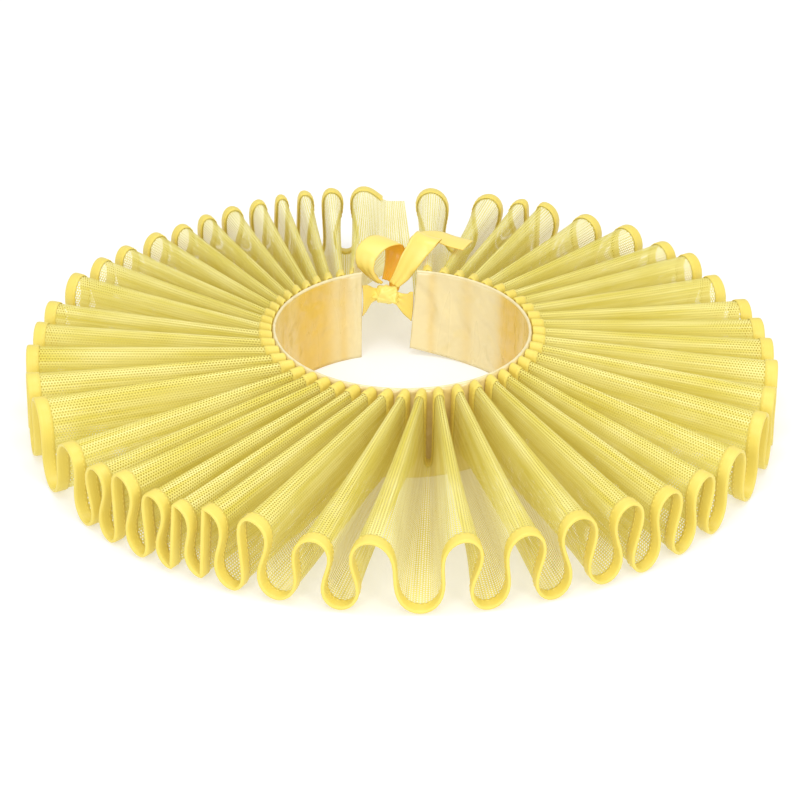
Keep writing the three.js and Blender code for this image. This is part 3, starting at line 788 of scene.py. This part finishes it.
def grown(name, paths, tree, values, material):
    """Runs a tree on open paths of points in millimetres, and keeps the result as a plain mesh."""
    seed = bpy.data.meshes.new(name + "_paths")
    points = np.concatenate(paths) * MM
    starts = np.cumsum([0] + [len(path) for path in paths])
    edges = [(i, i + 1) for a, b in zip(starts[:-1], starts[1:]) for i in range(a, b - 1)]
    seed.from_pydata(points.tolist(), edges, [])
    maker = bpy.data.objects.new(name + "_maker", seed)
    bpy.context.scene.collection.objects.link(maker)
    modifier = maker.modifiers.new("grow", "NODES")
    modifier.node_group = tree.group
    for key, value in {**values, "Finish": material}.items():
        modifier[tree.names[key]] = value
    result = bpy.data.meshes.new_from_object(maker.evaluated_get(bpy.context.evaluated_depsgraph_get()))
    bpy.data.objects.remove(maker)
    result.name = name
    result.shade_smooth()
    return add_piece(name, result, material)


# %% Stitches
STITCH_INSET = 1.2
STITCH_STANDS = 0.8
STITCH_SIZES = {"Pitch": 2.6 * MM, "Stitch length": 1.9 * MM, "Thread radius": 0.16 * MM}


def stitch_tree():
    tree = Tree("running_stitch")
    pitch = tree.input("Pitch", "NodeSocketFloat")
    length = tree.input("Stitch length", "NodeSocketFloat")
    radius = tree.input("Thread radius", "NodeSocketFloat")
    finish = tree.input("Finish", "NodeSocketMaterial")
    curve = tree.node("GeometryNodeMeshToCurve", {}, {"Mesh": tree.inputs.outputs["Geometry"]})
    steps = tree.node("GeometryNodeCurveToPoints", {"mode": "LENGTH"}, {"Curve": curve, "Length": pitch})
    turns = steps.node.outputs["Rotation"]
    bead = tree.node("GeometryNodeMeshIcoSphere", {}, {"Radius": 1.0, "Subdivisions": 1})
    half = tree.node("ShaderNodeMath", {"operation": "MULTIPLY"}, {0: length, 1: 0.5})
    size = tree.node("ShaderNodeCombineXYZ", {}, {"X": radius, "Y": radius, "Z": half})
    links = {"Points": steps, "Instance": bead, "Rotation": turns, "Scale": size}
    copies = tree.node("GeometryNodeInstanceOnPoints", {}, links)
    tree.finish(copies, finish)
    return tree


def stitch_line(name, radius, start, stands):
    """One row of stitches on each face of a binding, at one radius."""
    paths = [section_points(radius, start, side * stands) for side in (1, -1)]
    return grown(name, paths, running_stitch, STITCH_SIZES, thread)


running_stitch = stitch_tree()
outer_stitches = stitch_line(
    "outer_edge_stitches", outer_net_side + STITCH_INSET, "bend", STITCH_STANDS * OUTER_FULLNESS)
inner_stitches = stitch_line(
    "inner_edge_stitches", inner_net_side - STITCH_INSET, "crest", STITCH_STANDS * INNER_FULLNESS)

# %% [markdown]
# The neckband is a stiff satin strip that stands on its edge. Its right end is cut at a slant and lifts a
# little from the table. An extruded circle could give the wall, but not that end, nor the dents: satin over
# stiffening never lies quite flat. So the wall is a grid carried round the neck, with dents listed one by
# one.

# %% Neckband sizes and dents
BAND_OUTER_RADIUS = 65.0
BAND_WALL = 1.6
BAND_TOP = 48.9
BAND_HEIGHT = 49.6
BAND_LEFT_END = -160.7
BAND_RIGHT_END_TOP = 173.2
BAND_RIGHT_END_FOOT = 176.2
BAND_LIFT_START = 141.0
BAND_LIFT = 4.2
BAND_COLUMNS = 360
BAND_ROWS = 26
RIM_FADE_HEIGHT = 4
DENT_DEPTH = 1.8
DEEPEST_DENT = 1.15
# azimuth and height of a dent's middle, half its length, its lean from upright in degrees, half width, and
# its depth as a share of DENT_DEPTH
DENTS = np.array([
    (-157, 27, 24, 2, 1.6, -0.7), (-152, 26, 26, 1, 3.5, 0.8), (-143, 18, 20, -8, 3.0, 0.4),
    (-128, 12, 14, 18, 2.4, 0.5), (-121, 9, 11, 22, 2.0, -0.5), (-112, 15, 18, 6, 3.2, 0.4),
    (-96, 28, 20, -4, 4.0, 0.4), (-78, 22, 18, 5, 3.5, -0.3), (-55, 26, 22, -3, 4.0, 0.3),
    (-20, 24, 20, 6, 4.5, 0.3), (12, 26, 22, -5, 4.0, -0.3), (45, 22, 20, 4, 4.0, 0.3),
    (78, 26, 22, 2, 4.5, 0.4), (100, 24, 22, -3, 3.0, -0.4), (116, 20, 20, 3, 3.0, 0.5),
    (127, 11, 13, 32, 1.8, 0.9), (133, 9, 10, 40, 1.5, -0.6), (138, 13, 14, -12, 2.6, 0.5),
    (150, 22, 18, 24, 3.0, 0.5), (157, 12, 13, -30, 2.2, 0.6), (163, 32, 13, 28, 2.4, -0.5),
    (168, 20, 16, -14, 2.2, 0.5), (171, 38, 9, 45, 1.6, 0.4),
])
print("dents:", len(DENTS))

# %% [markdown]
# The band's colour turns from pale, painted sheen, to golden, painted shade, along its length. Noise would
# scatter the painted shade, so each golden stretch has a row in a table, and its share is stored on the mesh,
# where the finish reads it.

# %% Golden stretches of painted shade
# azimuth and half width in degrees, and how deep the painted shade is
PAINTED_SHADE_STRETCHES = np.array([
    (-140, 9, 0.85), (-128, 7, 1.0), (-112, 11, 0.75), (-90, 14, 0.6), (-152, 2.5, 0.45), (-60, 20, 0.5),
    (-20, 18, 0.45), (20, 16, 0.4), (60, 18, 0.5), (97, 13, 0.8), (116, 9, 0.9), (125, 4, 0.5),
    (148, 3, 0.25), (166, 2, 0.35),
])


def painted_shade_share(azimuth):
    near = np.exp(-((azimuth[..., None] - PAINTED_SHADE_STRETCHES[:, 0]) / PAINTED_SHADE_STRETCHES[:, 1]) ** 2)
    return np.clip((near * PAINTED_SHADE_STRETCHES[:, 2]).sum(-1), 0, 1)


def store_painted_shade(piece, shares):
    painted_shade = piece.data.attributes.new("painted_shade", "FLOAT", "POINT")
    painted_shade.data.foreach_set("value", shares.astype(np.float32))


print("golden stretches:", len(PAINTED_SHADE_STRETCHES))


# %% Neckband


def band_azimuth(share, height):
    """Azimuth in degrees at a share of the band's length, at a height: the right end is cut at a slant."""
    right = BAND_RIGHT_END_FOOT + (BAND_RIGHT_END_TOP - BAND_RIGHT_END_FOOT) * height / BAND_HEIGHT
    return BAND_LEFT_END + (right - BAND_LEFT_END) * share


def dent_depth(azimuth, height):
    run = (azimuth[..., None] - DENTS[:, 0]) * math.radians(BAND_OUTER_RADIUS)
    rise = height[..., None] - DENTS[:, 1]
    lean = np.radians(DENTS[:, 3])
    off_line = run * np.cos(lean) - rise * np.sin(lean)
    on_line = run * np.sin(lean) + rise * np.cos(lean)
    depth = DENTS[:, 5] * np.exp(-(off_line / DENTS[:, 4]) ** 2 - (on_line / DENTS[:, 2]) ** 4)
    return np.minimum(depth.sum(-1) * DENT_DEPTH, DEEPEST_DENT)


def band_point(radius, azimuth, height):
    angle = np.radians(azimuth)
    return np.stack([radius * np.sin(angle), -radius * np.cos(angle), height], -1)


def neckband():
    levels = np.linspace(0, 1, BAND_ROWS)
    up = levels * BAND_TOP
    height = np.concatenate([up, up[::-1]])
    inside = np.concatenate([np.zeros(BAND_ROWS), np.ones(BAND_ROWS)])
    share = np.linspace(0, 1, BAND_COLUMNS)
    grid_height = np.broadcast_to(height[:, None], (len(height), BAND_COLUMNS))
    azimuth = band_azimuth(share[None, :], grid_height)
    lifted_degrees = BAND_RIGHT_END_FOOT - BAND_LIFT_START
    lift = BAND_LIFT * np.clip((azimuth - BAND_LIFT_START) / lifted_degrees, 0, 1) ** 2
    stands = grid_height + lift * (1 - grid_height / BAND_TOP)
    rim_fade = np.clip(np.minimum(height, BAND_TOP - height) / RIM_FADE_HEIGHT, 0, 1)[:, None]
    dents = dent_depth(azimuth, grid_height) * rim_fade * inside[:, None]
    radius = BAND_OUTER_RADIUS - BAND_WALL * inside[:, None] + dents
    cloth = spread(np.radians(azimuth[0] - BAND_LEFT_END) * BAND_OUTER_RADIUS, np.arange(len(height)) * up[1])
    piece = grid_piece("neckband_satin", band_point(radius, azimuth, stands), cloth, band_satin, tube=True)
    store_painted_shade(piece, painted_shade_share(azimuth).ravel())
    return piece


band_piece = neckband()

# %% [markdown]
# The band's top edge is finished with a thin roll of the same satin. It could be modelled into the band,
# but then its fine rows would be needed all the way down. A roll follows a path, so Geometry Nodes sweep a
# small circle along the rim and close its ends.

# %% Rolled rim
ROLL_RADIUS = 0.75
ROLL_LEANS_IN = 0.15
ROLL_SINKS = 0.1
RIM_POINTS = 240


def roll_tree():
    tree = Tree("rolled_rim")
    radius = tree.input("Roll radius", "NodeSocketFloat")
    finish = tree.input("Finish", "NodeSocketMaterial")
    curve = tree.node("GeometryNodeMeshToCurve", {}, {"Mesh": tree.inputs.outputs["Geometry"]})
    circle = tree.node("GeometryNodeCurvePrimitiveCircle", {}, {"Resolution": 12, "Radius": radius})
    links = {"Curve": curve, "Profile Curve": circle, "Fill Caps": True}
    tree.finish(tree.node("GeometryNodeCurveToMesh", {}, links), finish)
    return tree


rim_radius = BAND_OUTER_RADIUS - BAND_WALL / 2 - ROLL_LEANS_IN
rim_azimuth = band_azimuth(np.linspace(0, 1, RIM_POINTS), BAND_TOP)
rim_path = band_point(rim_radius, rim_azimuth, np.full(RIM_POINTS, BAND_TOP - ROLL_SINKS))
rim_roll = grown("rolled_rim", [rim_path], roll_tree(), {"Roll radius": ROLL_RADIUS * MM}, band_satin)

# %% [markdown]
# The ends are tied with satin ribbon: a tie from each end of the band to a knot, two loops and two tails. A
# simulation would let a bow fall limp, but a made-up bow keeps its shape, so each ribbon is swept along a
# given path, which is the imported solid's own. It is thin, cups a little across its width, and gathers
# into small pleats where the knot holds it narrow. One side of each ribbon is painted deep golden for shade
# and the other stays pale, so each side carries its own share of painted shade.

# %% A smooth path


def smooth_path(stops, samples):
    """A centripetal Catmull-Rom curve through the stops."""
    stops = np.asarray(stops, float)
    padded = np.concatenate([[2 * stops[0] - stops[1]], stops, [2 * stops[-1] - stops[-2]]])
    result = []
    for place in np.linspace(0, len(stops) - 1, samples):
        i = min(int(place), len(stops) - 2)
        t = place - i
        a, b, c, d = padded[i:i + 4]
        ab, bc, cd = (max(np.linalg.norm(q - p), 1e-6) ** 0.5 for p, q in ((a, b), (b, c), (c, d)))
        leave = ((b - a) / ab - (c - a) / (ab + bc) + (c - b) / bc) * bc
        reach = ((c - b) / bc - (d - b) / (bc + cd) + (d - c) / cd) * bc
        cubic = 2 * b - 2 * c + leave + reach
        square = -3 * b + 3 * c - 2 * leave - reach
        result.append(b + leave * t + square * t ** 2 + cubic * t ** 3)
    return np.array(result)


# %% Ribbon sweep
RIBBON_THICKNESS = 0.5
RIBBON_WIDTH = 12.7
ACROSS_POINTS = 13
PLEATS_ACROSS = 2.5
# Share of painted shade on each side of a ribbon: the pale side and the side painted deep golden.
LIT_SIDE_SHADE_SHARE, SHADED_SIDE_SHADE_SHARE = 0.2, 0.95


def ribbon(name, stops, samples, cup, gather, shaded_side):
    """stops: place, the way the width points, and the width, all in millimetres. Last: 0 or 1, the side with
    painted shade.
    """
    middle = smooth_path([stop[0] for stop in stops], samples)
    side = smooth_path([stop[1] for stop in stops], samples)
    width = np.interp(np.linspace(0, len(stops) - 1, samples), range(len(stops)), [stop[2] for stop in stops])
    forward = np.gradient(middle, axis=0)
    forward /= np.linalg.norm(forward, axis=1)[:, None]
    side -= forward * np.einsum("ij,ij->i", side, forward)[:, None]
    side /= np.linalg.norm(side, axis=1)[:, None]
    face = np.cross(forward, side)
    w = np.linspace(-1, 1, ACROSS_POINTS)
    narrow = np.clip(1 - width / RIBBON_WIDTH, 0, 1)
    rise = cup * (1 - w[None, :] ** 2) * (width / RIBBON_WIDTH)[:, None]
    rise = rise + gather * np.sin(PLEATS_ACROSS * np.pi * w)[None, :] * narrow[:, None]
    sheet = (middle[:, None] + side[:, None] * (w[None, :, None] * width[:, None, None] / 2)
             + face[:, None] * rise[..., None])
    half = face[:, None] * RIBBON_THICKNESS / 2
    points = np.concatenate([sheet + half, (sheet - half)[:, ::-1]], 1).transpose(1, 0, 2)
    along = np.concatenate([[0], np.cumsum(np.linalg.norm(np.diff(middle, axis=0), axis=1))])
    across = np.arange(2 * ACROSS_POINTS) * RIBBON_WIDTH / ACROSS_POINTS
    piece = grid_piece(name, points, spread(along, across), ribbon_satin, tube=True)
    side_number = np.repeat([0, 1], ACROSS_POINTS)
    shade_values = np.where(side_number == shaded_side, SHADED_SIDE_SHADE_SHARE, LIT_SIDE_SHADE_SHARE)
    store_painted_shade(piece, np.repeat(shade_values, samples))
    return piece, along[-1] * MM, max(stop[2] for stop in stops) * MM


# %% Routes of the ties, loops and tails
# each stop: place, the way the width points, and the width
LEFT_TIE = [
    ((-20.7, 61.0, 32.6), (0, 0, 1), 18),
    ((-18.4, 64.6, 32.6), (0, 0, 1), 15),
    ((-15.7, 68.4, 32.3), (0, 0, 1), 9),
    ((-12.4, 70.0, 32.2), (0, 0, 1), 7),
]
RIGHT_TIE = [
    ((5.2, 64.3, 28.0), (0.067, 0, 1), 17),
    ((2.4, 67.0, 28.1), (0.04, 0, 1), 14),
    ((-1.6, 69.5, 29.6), (0, 0, 1), 7),
    ((-4.4, 70.0, 30.6), (0, 0, 1), 6.5),
]
LEFT_LOOP = [
    ((-12.0, 73.2, 37.4), (-0.6, 0.6, -0.1), 5),
    ((-16.2, 70.4, 42.6), (-0.85, 0.5, 0.2), 7),
    ((-19.2, 69.8, 48.6), (-0.85, 0.5, 0.35), 10),
    ((-18.6, 72.4, 55.0), (-0.8, 0.6, 0.3), 12.7),
    ((-12.6, 78.0, 58.6), (-0.8, 0.6, 0.2), 12.7),
    ((-5.4, 84.0, 56.0), (-0.85, 0.55, 0.1), 12.7),
    ((-4.2, 86.0, 49.4), (-0.9, 0.4, 0.1), 11),
    ((-6.2, 81.6, 42.4), (-0.9, 0.3, 0.1), 7),
    ((-8.6, 76.6, 37.2), (-0.9, 0.2, 0.1), 4.6),
]
RIGHT_LOOP = [
    ((-4.4, 70.6, 37.4), (0.8, 0, -0.5), 6),
    ((-0.2, 70.6, 43.4), (0.8, 0, -0.6), 9),
    ((4.2, 72.6, 51.0), (0.8, 0.1, -0.45), 11.5),
    ((9.0, 76.6, 57.2), (0.8, 0.15, -0.4), 12.7),
    ((12.6, 81.6, 59.8), (0.85, -0.35, -0.3), 12.7),
    ((14.4, 86.2, 58.6), (0.9, -0.35, -0.1), 12.7),
    ((13.0, 89.0, 54.6), (0.9, -0.1, 0.1), 11),
    ((8.4, 87.4, 50.2), (0.85, 0.1, 0.3), 8),
    ((3.4, 83.4, 44.6), (0.85, 0.3, 0.1), 5.5),
    ((-0.6, 78.6, 39.0), (0.85, 0.3, -0.2), 4.2),
    ((-3.2, 75.4, 36.0), (0.9, 0.2, -0.3), 3.6),
]
RIGHT_TAIL = [
    ((-4.6, 75.3, 32.0), (0.9, 0.1, 0.1), 5),
    ((-1.6, 88.6, 40.0), (0.8, 0.5, 0.3), 9),
    ((6.0, 97.0, 50.4), (0.2, 1, 0.1), 11),
    ((16.5, 99.6, 52.0), (0.05, 1, 0), 12.7),
    ((26.5, 95.0, 51.0), (0.25, 1, 0), 12.7),
    ((34.5, 91.0, 50.8), (0.35, 1, 0), 12.7),
]
LEFT_TAIL = [
    ((-11.2, 75.2, 30.4), (1, 0, 0), 6),
    ((-11.4, 80.6, 28.0), (1, 0, 0), 10),
    ((-11.6, 87.0, 22.4), (1, 0, 0), 12),
]
print("loops have %d and %d stops" % (len(LEFT_LOOP), len(RIGHT_LOOP)))

# %% Ties, loops and tails
ribbons = {}
# samples along the ribbon, how far it cups, how deep it gathers, and which of its sides has painted shade
for node_name, stops, samples, cup, gather, shaded_side in (
        ("left_tie", LEFT_TIE, 24, 0.5, 1.1, 1),
        ("right_tie", RIGHT_TIE, 24, 0.5, 1.1, 0),
        ("left_bow_loop", LEFT_LOOP, 90, 0.6, 0.8, 1),
        ("right_bow_loop", RIGHT_LOOP, 96, 0.6, 0.8, 0),
        ("right_tail", RIGHT_TAIL, 60, 0.5, 0.7, 1),
        ("left_tail", LEFT_TAIL, 24, 0.5, 0.7, 0)):
    ribbons[node_name] = ribbon(node_name + "_ribbon", stops, samples, cup, gather, shaded_side)

# %% [markdown]
# A knot is ribbon wrapped over itself. Wound from one ribbon it would cross itself many times, and little
# of that would show. So it is a small ball whose surface rises along five bands, each the trace of a wrap,
# and sinks along two narrow lines between them.

# %% Knot
KNOT_CENTRE = np.array([-8.5, 70.0, 32.0])
KNOT_SIZE = np.array([15.0, 9.6, 11.0])
KNOT_GRID = 72
KNOT_CORE = 0.88
POLE_GAP = 0.04
KNOT_CLOTH_RADIUS = 6
# direction that a wrap circles, its distance from the ball's middle, half width, rise
WRAPS = np.array([
    (0.80, 0.10, 0.60, 0.10, 0.20, 0.17),
    (-0.55, 0.25, 0.80, 0.30, 0.14, 0.13),
    (0.95, -0.20, -0.25, -0.30, 0.12, 0.12),
    (0.25, 0.05, 0.97, -0.34, 0.13, 0.12),
    (0.88, 0.30, -0.36, 0.42, 0.10, 0.10),
    (0.60, -0.20, 0.77, -0.05, 0.07, -0.08),
    (-0.40, 0.10, 0.91, 0.02, 0.06, -0.07),
])


def knot():
    rows = np.linspace(POLE_GAP, math.pi - POLE_GAP, KNOT_GRID // 2)
    columns = np.linspace(0, 2 * math.pi, KNOT_GRID, endpoint=False)
    polar, turnround = np.meshgrid(rows, columns, indexing="ij")
    ways = np.stack([np.cos(polar), np.sin(polar) * np.cos(turnround), np.sin(polar) * np.sin(turnround)], -1)
    swell = np.full(polar.shape, KNOT_CORE)
    for wrap in WRAPS:
        axis = wrap[:3] / np.linalg.norm(wrap[:3])
        swell = swell + wrap[5] * np.exp(-((ways @ axis - wrap[3]) / wrap[4]) ** 2)
    points = KNOT_CENTRE + ways * swell[..., None] * KNOT_SIZE / 2
    cloth = np.stack([polar, turnround], -1) * KNOT_CLOTH_RADIUS
    points, cloth = (grid.transpose(1, 0, 2) for grid in (points, cloth))
    return grid_piece("knot_wraps", points, cloth, ribbon_satin, tube=True)


knot_piece = knot()

# %% [markdown]
# Nothing on this collar moves by itself, so every piece rides on the one body. Each names the imported solid
# that it stands for, and that solid is hidden.

# %% Ride and replace
PIECES = [
    (net_piece, "net_ruffle", "net"),
    (outer_edge, "outer_binding", "satin_binding"),
    (inner_edge, "inner_binding", "satin_binding"),
    (band_piece, "neckband", "satin_band"),
    (knot_piece, "knot", "satin_ribbon"),
]
PIECES += [(ribbons[node_name][0], node_name, "satin_ribbon") for node_name in ribbons]
for piece, node_name, slot in PIECES:
    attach(piece, "root")
    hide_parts(node_name)
SEWING = [(outer_stitches, "satin_binding"), (inner_stitches, "satin_binding"), (rim_roll, "satin_band")]
for piece, slot in SEWING:
    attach(piece, "root")
